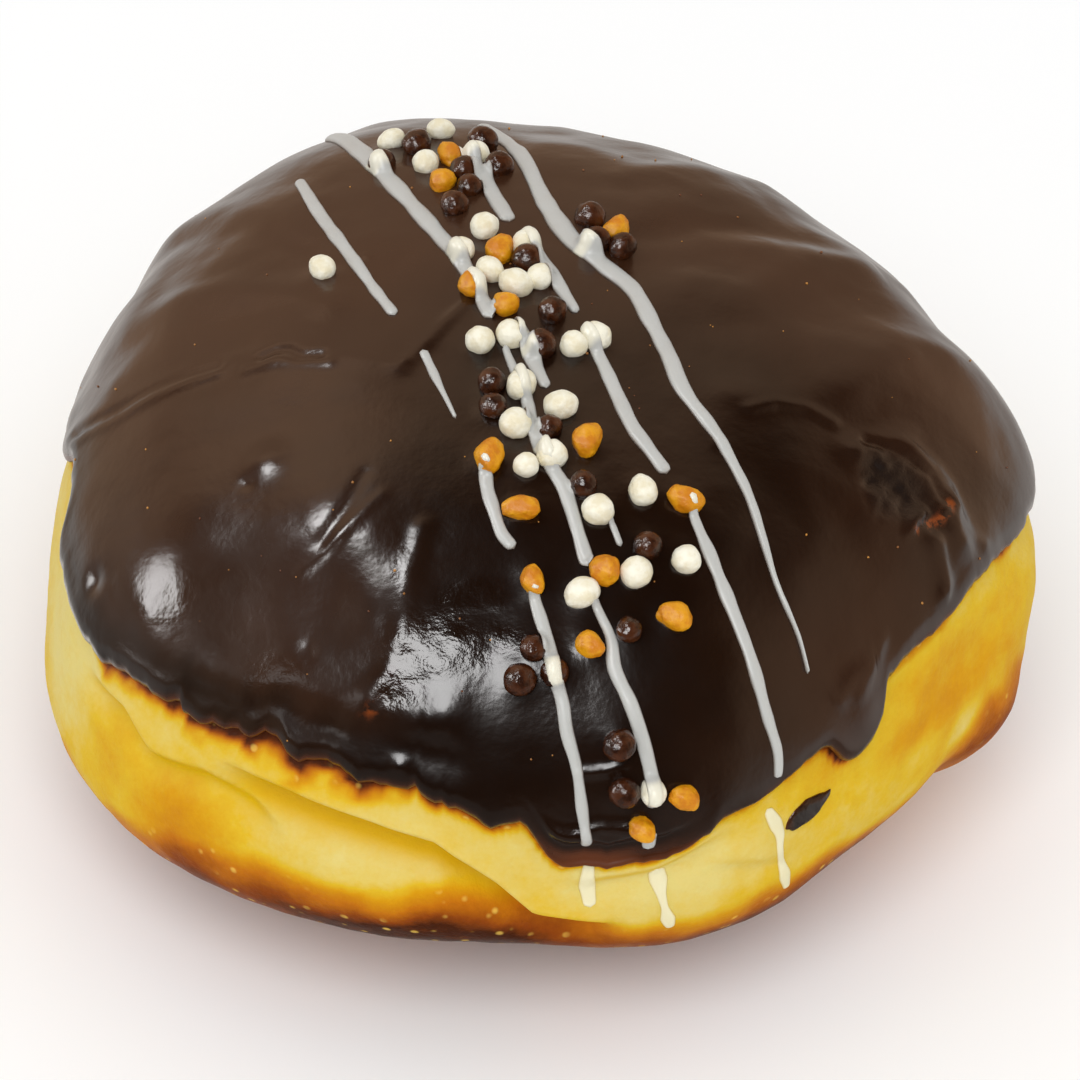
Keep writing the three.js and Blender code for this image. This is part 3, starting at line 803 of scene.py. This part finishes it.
# drizzle
drizzle = {
    "sunk": 0.15,
    "edgeClear": 1.2,
    "smoothing": (3, 1.3),  # steps to each side and width of the smoothing along a strand
    "step": 0.3,
    "sides": 15,
    "lanes": 9,  # places across a strand where the surface below is felt for
    "heartHeight": 18.0,
    "searchFrom": 9,
    "icingLines": [  # half widths at even steps along it, height, then the centre line on the flat map
        ((0.55, 0.75, 0.7, 0.6), 0.42, [(-27, 27), (-25, 18.5), (-22.1, 10.5), (-19.1, 3.5), (-16.3, -2.1)]),
        ((0.5, 0.45, 0.3, 0.2), 0.3, [(-12.9, -8.5), (-11.1, -13.5), (-9, -18.9)]),
        ((0.9, 1.1, 1.05, 0.85, 0.8), 0.5,
         [(-23.4, 40.5), (-18.7, 26.7), (-13.1, 14.3), (-9.1, 6), (-5.5, -3.2)]),
        ((0.7, 0.8, 0.6), 0.45, [(-2.6, -4.2), (-0.8, -10.3), (0.9, -14.9)]),
        ((0.4, 0.55, 0.75, 0.7, 0.7), 0.42,
         [(-4, -8.4), (-2.7, -12.6), (-1.3, -16.9), (-0.4, -21), (1.1, -25), (2.9, -27.9), (4.6, -32.8),
          (5.7, -36.2)]),
        ((0.45, 0.65, 0.75, 0.7), 0.42,
         [(6.2, -39), (7.1, -40.5), (8.2, -42.4), (8.7, -44.9), (10.5, -47.6), (12.2, -50.8), (13.4, -53.6),
          (13.9, -56.2)]),
        ((0.6, 0.7, 0.6), 0.2, [(14.3, -58.4), (14.6, -60.6)]),
        ((0.8, 0.95, 0.9), 0.45, [(-9.8, 31.1), (-8, 26.3), (-6.2, 21.1), (-4, 15.4)]),
        ((0.9, 0.85, 0.5), 0.45, [(-2.2, 11.7), (-0.2, 7.8), (1.8, 3.4), (4.3, -2.1)]),
        ((0.6, 0.8, 0.8, 0.7), 0.42,
         [(5.2, -6.5), (7.2, -10.1), (9.1, -15.5), (10.7, -19.8), (12.6, -22.8), (14.3, -25.3)]),
        ((0.5, 0.72, 0.72, 0.62, 0.5), 0.42,
         [(16.3, -28), (17.3, -30.5), (19.5, -35.1), (22.2, -40), (25.1, -45.3), (27.5, -48.6), (28.4, -51)]),
        ((0.9, 0.9, 1.05, 1.05, 1, 0.85, 0.6, 0.35, 0.12), 0.45,
         [(-7.2, 39), (-3.3, 31.4), (0.3, 19.5), (3.5, 11.9), (6.8, 7.8), (10.2, 3.9), (12.7, -2), (15, -7.8),
          (16.7, -13.5), (20.5, -19.8), (23.5, -26.1), (25.7, -33.5), (28.7, -38.1), (30.2, -41)]),
        ((0.6, 0.75, 0.7, 0.55), 0.42,
         [(-5.6, -25), (-5.2, -28.1), (-4.5, -30.2), (-3.5, -32.9), (-2.1, -34.5)]),
        ((0.55, 0.7, 0.65, 0.6, 0.55), 0.42,
         [(0, -38.1), (0.3, -39.6), (1.5, -42.6), (2.4, -45.6), (3.4, -48.1), (4, -50.6), (5.2, -53.5),
          (6.1, -57), (7.2, -61)]),
        ((0.3, 0.35, 0.3), 0.3, [(7.4, -30.7), (8.3, -32), (9.1, -33.9)]),
    ],
    "doughLines": [  # the same, with the line in azimuth and height on the dough
        ((0.6, 0.35, 0.6, 0.85, 0.7), 0.16, [(276.8, 31), (277.2, 28), (277, 25), (277.4, 21.6)]),
        ((0.7, 0.9, 0.5, 0.4, 0.75, 0.4), 0.2, [(285, 25.8), (285.4, 23), (286, 20.5), (286.8, 17.6)]),
        ((0.5, 0.85, 0.5, 0.4, 0.7, 0.35), 0.18, [(298.3, 30), (300, 26.4), (300.2, 23.6), (302, 17.4)]),
    ],
}
drizzleLook = {
    "icing": {"thin": srgb(128, 116, 106), "thick": srgb(186, 186, 182), "raised": srgb(230, 225, 206)},
    "dough": {"thin": srgb(226, 200, 112), "thick": srgb(238, 228, 186), "raised": srgb(236, 226, 184)},
}


def smoothCurve(points, count):
    # even steps along a smooth curve through the points
    line = np.array(points, float)
    padded = np.vstack([2 * line[0] - line[1], line, 2 * line[-1] - line[-2]])
    f = np.linspace(0, 1, 60, endpoint=False)[:, None]
    fine = [between(a, b, c, d, f) for a, b, c, d in zip(padded, padded[1:], padded[2:], padded[3:])]
    return evenSteps(np.vstack(fine + [line[-1:]]), count)


def evenSteps(line, count):
    far = np.concatenate([[0], np.cumsum(np.linalg.norm(np.diff(line, axis=0), axis=1))])
    even = np.linspace(0, far[-1], count)
    return np.stack([np.interp(even, far, column) for column in line.T], -1)


def surfaceOf(pieces):
    mesh = bmesh.new()
    for piece in pieces:
        mesh.from_mesh(piece.data)
    surface = BVHTree.FromBMesh(mesh)
    mesh.free()
    return surface


def dropOnto(surface, place):
    # the surface under a place, found from some way outside it along the bun's own direction
    heart = np.array([*bun["heart"], drizzle["heartHeight"]])
    outward = Vector((place - heart) / np.linalg.norm(place - heart))
    far = drizzle["searchFrom"]
    hit, normal, _, _ = surface.ray_cast(Vector(place) * mm + outward * far * mm, -outward, 2 * far * mm)
    return np.array(hit) / mm, np.array(normal)


def layStrand(mesh, centreLine, bare, cover, widths, height, seed):
    # a soft strand laid over whatever is under it; returns how high and how thick each point is
    lanes = drizzle["lanes"]
    length = np.linalg.norm(np.diff(centreLine, axis=0), axis=1).sum()
    stations = max(10, int(length / drizzle["step"]))
    centre = evenSteps(centreLine, stations + 1)
    sides = drizzle["sides"]
    made = bmesh.ops.create_grid(mesh, x_segments=stations, y_segments=sides - 1, size=1)["verts"]
    flat = np.array([point.co[:] for point in made])
    station = np.rint((flat[:, 0] + 1) / 2 * stations).astype(int)
    turn = flat[:, 1] * math.pi
    shift = Vector((seed * 3.3, seed * 1.7, seed * 9.1))
    swell = np.array([1 + 0.2 * noise.noise(Vector(p) / 2.4 + shift) for p in centre])
    along = np.linspace(0, length, stations + 1)
    wide = np.interp(along, np.linspace(0, length, len(widths)), widths) * swell
    fromEnd = np.clip(np.minimum(along, length - along) / wide, 0, 1)
    cap = np.sqrt(1 - (1 - fromEnd) ** 2)
    ground, normal = map(np.array, zip(*[dropOnto(bare, p) for p in centre]))
    ahead = np.gradient(centre, axis=0)
    side = np.cross(ahead, normal)
    side /= np.linalg.norm(side, axis=1)[:, None]
    across = np.cos(np.linspace(-math.pi, 0, lanes))
    lifts = np.zeros((stations + 1, lanes))
    for i in range(stations + 1):
        for k in range(lanes):
            place = ground[i] + side[i] * wide[i] * cap[i] * across[k]
            lifts[i, k] = max((dropOnto(under, place)[0] - ground[i]) @ normal[i] for under in (cover, bare))
    steps, spread = drizzle["smoothing"]
    kernel = bell(np.arange(-steps, steps + 1) / spread)
    kernel /= kernel.sum()
    padded = np.pad(lifts, ((steps, steps), (0, 0)), "edge")
    lifts = np.stack([np.convolve(padded[:, k], kernel, "valid") for k in range(lanes)], -1)
    raised, thick = [], []
    for point, i, angle in zip(made, station, turn):
        acrossHere = math.cos(angle)
        lift = np.interp(acrossHere, across, lifts[i])
        profile = math.sin(angle)
        bulk = height * swell[i] * cap[i] * profile if profile > 0 else drizzle["sunk"] * profile
        place = ground[i] + side[i] * wide[i] * cap[i] * acrossHere + normal[i] * (lift + bulk)
        point.co = Vector(place) * mm
        raised.append(max(0.0, np.interp(0, across, lifts[i])))
        thick.append(max(0.0, profile))
    return raised, thick


def makeDrizzleMaterial(name, look):
    material, tree, shader = newMaterial(name)
    place = objectPlace(tree)
    patchy = noiseAt(tree, place, 300) - 0.5
    body = (markOf(tree, "thick").between(0.0, 0.75) + patchy * 0.35).clamped()
    flatColour = mixColour(tree, body, look["thin"], look["thick"])
    raised = markOf(tree, "raised").between(0.5, 1.4)  # whiter where it runs over a pearl
    setInputs(tree, shader, {
        "Base Color": mixColour(tree, raised, flatColour, look["raised"]), "Roughness": 0.36 + patchy * 0.2,
        "Normal": bumpFrom(tree, noiseAt(tree, place, 600), 0.0002, 0.4),
        "Subsurface Weight": 0.15, "Subsurface Radius": (1, 0.9, 0.8), "Subsurface Scale": 0.001})
    return material


def layDrizzle(name, strands, bare, cover, node, look):
    mesh = bmesh.new()
    raised, thick = [], []
    for index, (centreLine, widths, height) in enumerate(strands):
        high, full = layStrand(mesh, centreLine, bare, cover, widths, height, index + len(name))
        raised += high
        thick += full
    marks = {"raised": raised, "thick": thick}
    piece = finishPiece(name, mesh, makeDrizzleMaterial(name, look), marks, (node,))
    weldSeams(piece)


def weldSeams(piece):
    # close each strand along its underside
    mesh = bmesh.new()
    mesh.from_mesh(piece.data)
    bmesh.ops.remove_doubles(mesh, verts=mesh.verts, dist=0.000002)
    bmesh.ops.recalc_face_normals(mesh, faces=mesh.faces)
    mesh.to_mesh(piece.data)
    mesh.free()


def makeDrizzle():
    strands = []
    for widths, height, line in drizzle["icingLines"]:
        path = smoothCurve(line, 160)
        azimuth, down = fromMap(path[:, 0], path[:, 1])
        edgeDown = downAtHeight(azimuth, raggedEdgeHeight(azimuth))
        down = np.minimum(down, edgeDown - drizzle["edgeClear"])
        strands.append((icingPoint(azimuth, down), widths, height))
    bare, cover = surfaceOf([icingPiece]), surfaceOf([icingPiece] + pearlPieces)
    layDrizzle("drizzle_on_icing", strands, bare, cover, "chocolate_icing",
               drizzleLook["icing"])
    strands = []
    for widths, height, line in drizzle["doughLines"]:
        path = smoothCurve(line, 60)
        strands.append((doughPoint(path[:, 0], downAtHeight(path[:, 0], path[:, 1])), widths, height))
    bare = surfaceOf([dough])
    layDrizzle("drizzle_on_dough", strands, bare, bare, "dough", drizzleLook["dough"])


makeDrizzle()


# splash of icing on the dough, and the golden crumbs on the icing
splash = {"azimuth": 304.6, "height": 27, "length": 3, "width": 1.45, "rise": 0.5, "slope": 14}
crumbs = {
    "count": 90,
    "sizes": (0.05, 0.14),
    "farthestDown": 70,
    "seed": 18,
    "colour": srgb(190, 128, 46),
    "shade": srgb(104, 52, 12),
}


def makeSplash():
    mesh = bmesh.new()
    bmesh.ops.create_icosphere(mesh, subdivisions=5, radius=1)
    surface = surfaceOf([dough])
    down = downAtHeight(splash["azimuth"], splash["height"])
    middle = doughPoint(np.array(splash["azimuth"]), np.array(down))
    ground, normal = dropOnto(surface, middle)
    a = splash["azimuth"] * radians
    level = np.array([-math.sin(a), math.cos(a), 0])
    upward = np.cross(normal, level)
    upward = upward if upward[2] > 0 else -upward
    c, s = math.cos(splash["slope"] * radians), math.sin(splash["slope"] * radians)
    longWay, wideWay = level * c + upward * s, upward * c - level * s
    thinEdge = []
    for point in mesh.verts:
        u, v, w = point.co
        thinEdge.append(min(1, max(0, (0.5 - w) / 0.5)))
        narrow = 1 - 0.75 * max(0, u) ** 1.2
        ragged = 1 + 0.12 * noise.noise(Vector((u, v, 3)) * 2.5)
        flat = ground + longWay * u * splash["length"] * ragged
        flat += wideWay * v * splash["width"] * narrow * ragged
        onDough, out = dropOnto(surface, flat)
        point.co = Vector(onDough + out * (w * splash["rise"] * (1 if w > 0 else 0.3))) * mm
    material, tree, shader = newMaterial("splashedIcing")
    tone = noiseAt(tree, objectPlace(tree), 500)
    body = mixColour(tree, tone.between(0.4, 0.65), icingLook["deep"], icingLook["brown"])
    edged = mixColour(tree, markOf(tree, "thin").between(0.35, 1.0), body, icingLook["thin"])
    setInputs(tree, shader, {
        "Base Color": edged, "Normal": bumpFrom(tree, tone, 0.0006, 0.5), "Roughness": 0.2})
    finishPiece("splash_on_dough", mesh, material, {"thin": thinEdge}, ("dough",))


def makeCrumbs():
    generator = np.random.default_rng(crumbs["seed"])
    surface = surfaceOf([icingPiece])
    mesh = bmesh.new()
    for _ in range(crumbs["count"]):
        azimuth = generator.uniform(0, 360)
        down = crumbs["farthestDown"] * math.sqrt(generator.uniform(0, 1))
        ground, normal = dropOnto(surface, icingPoint(azimuth, down))
        size = generator.uniform(*crumbs["sizes"])
        made = bmesh.ops.create_icosphere(mesh, subdivisions=2, radius=size * mm)["verts"]
        for point in made:
            point.co *= 1 + 0.35 * noise.noise(point.co / (size * mm) * 1.3 + Vector(ground))
        bmesh.ops.translate(mesh, verts=made, vec=Vector(ground + normal * size * 0.2) * mm)
    material, tree, shader = newMaterial("goldenCrumb")
    tone = noiseAt(tree, objectPlace(tree), 180, 2).between(0.35, 0.6)
    colour = mixColour(tree, tone, crumbs["shade"], crumbs["colour"])
    setInputs(tree, shader, {"Base Color": colour, "Roughness": 0.5})
    finishPiece("golden_crumbs", mesh, material, {})


makeSplash()
makeCrumbs()


# floor, light and camera
studio = {
    "elevation": 42,
    "distance": 600,
    "lookHeight": 26,
    "framing": (-0.13, -0.36),
    "roll": 1.5,
    "lens": 196.7,
    "fill": 0.86,
    "darkRoom": 0.018,
    "lampDistance": 0.9,
    "lampHeight": 0.03,
    "floorColour": (0.96, 0.96, 0.96, 1),
    "roomColour": (1, 0.66, 0.43, 1),
    "tableColour": (1, 0.95, 0.9, 1),
    "lamps": [  # name, direction it shines from, size, power, True to light or False to show in the gloss
        ("softKey", (-0.06, -0.58, 0.8), 0.6, 2.7, True),
        ("overheadBox", (-0.47, 0.03, 0.88), 0.24, 2.7, False),
        ("leftBox", (-0.95, -0.06, 0.3), 0.4, 4.4, False),
        ("sideBox", (-0.73, -0.59, 0.34), 0.2, 0.15, False),
        ("frontBox", (-0.25, -0.68, 0.69), 0.42, 5.6, False),
    ],
}


def makeFloor():
    mesh = bmesh.new()
    bmesh.ops.create_grid(mesh, x_segments=2, y_segments=2, size=3)
    data = bpy.data.meshes.new("floor")
    mesh.to_mesh(data)
    mesh.free()
    material, tree, shader = newMaterial("paleFloor")
    setInputs(tree, shader, {"Base Color": studio["floorColour"], "Roughness": 0.9, "Specular IOR Level": 0})
    data.materials.append(material)
    floor = putInScene("floor", data)
    floor.visible_glossy = False  # the icing's gloss shows a dark room, not the floor


def makeLamp(name, direction, size, power, lights):
    data = bpy.data.lights.new(name, "AREA")
    data.shape = "DISK"
    data.size = size
    data.energy = power
    lamp = putInScene(name, data)
    lamp.visible_glossy = not lights
    lamp.visible_diffuse = lights
    away = Vector(direction).normalized()
    lamp.location = Vector((0, 0, studio["lampHeight"])) + away * studio["lampDistance"]
    lamp.rotation_euler = away.to_track_quat("Z", "Y").to_euler()


def makeCamera():
    e, roll = studio["elevation"] * radians, studio["roll"] * radians
    back = Vector((0, -math.cos(e), math.sin(e)))
    right = Vector((1, 0, 0))
    up = back.cross(right)
    aim = Vector((0, 0, studio["lookHeight"])) + right * studio["framing"][0] + up * studio["framing"][1]
    turnedRight = right * math.cos(roll) + up * math.sin(roll)
    turnedUp = up * math.cos(roll) - right * math.sin(roll)
    data = bpy.data.cameras.new("camera")
    data.lens = studio["lens"]
    data.sensor_width = 36
    camera = putInScene("camera", data)
    facing = Matrix((turnedRight, turnedUp, back)).transposed().to_4x4()
    camera.matrix_world = Matrix.Translation((aim + back * studio["distance"]) * mm) @ facing
    bpy.context.scene.camera = camera


def makeWorld():
    # even white light all round; in the gloss a room dark in front, brighter behind and at the sides
    world = bpy.data.worlds.new("studioSurroundings")
    world.use_nodes = True
    world.cycles.sampling_method = "NONE"  # keeps the two parts of the world apart
    bpy.context.scene.world = world
    tree = world.node_tree
    fill = tree.nodes["Background"]
    setInputs(tree, fill, {"Color": (1, 1, 1, 1), "Strength": studio["fill"]})
    facing = addNode(tree, "ShaderNodeTexCoord", {}, {}, "Generated")
    x, y, z = (addNode(tree, "ShaderNodeSeparateXYZ", {}, {"Vector": facing}, way) for way in "XYZ")
    back = (y.between(0.2, 0.65) * 0.75 - y.between(0.7, 0.95) * 0.2) * (1 - x.between(0.0, 0.45) * 0.35)
    sides = (0 - x).between(0.55, 0.9) * 0.3 + x.between(0.55, 0.95) * 0.55
    left, ahead = x + 0.42, y - 0.44
    glow = (1 - (left * left * 1.4 + ahead * ahead * 1.6).between(0.0, 0.14)) * 0.66
    table = (-0.04 - z).between(0.0, 0.25)
    colour = mixColour(tree, table, studio["roomColour"], studio["tableColour"])
    strength = back + sides + glow + studio["darkRoom"] + table * 0.2
    mirrored = addNode(tree, "ShaderNodeBackground", {}, {"Color": colour, "Strength": strength})
    glossy = addNode(tree, "ShaderNodeLightPath", {}, {}, "Is Glossy Ray")
    both = addNode(tree, "ShaderNodeMixShader", {}, {0: glossy, 1: Wire(tree, fill.outputs[0]), 2: mirrored})
    setInputs(tree, tree.nodes["World Output"], {"Surface": both})


makeFloor()
makeCamera()
makeWorld()
for lampValues in studio["lamps"]:
    makeLamp(*lampValues)
bpy.context.scene.view_settings.view_transform = "Standard"

bpy.context.view_layer.update()
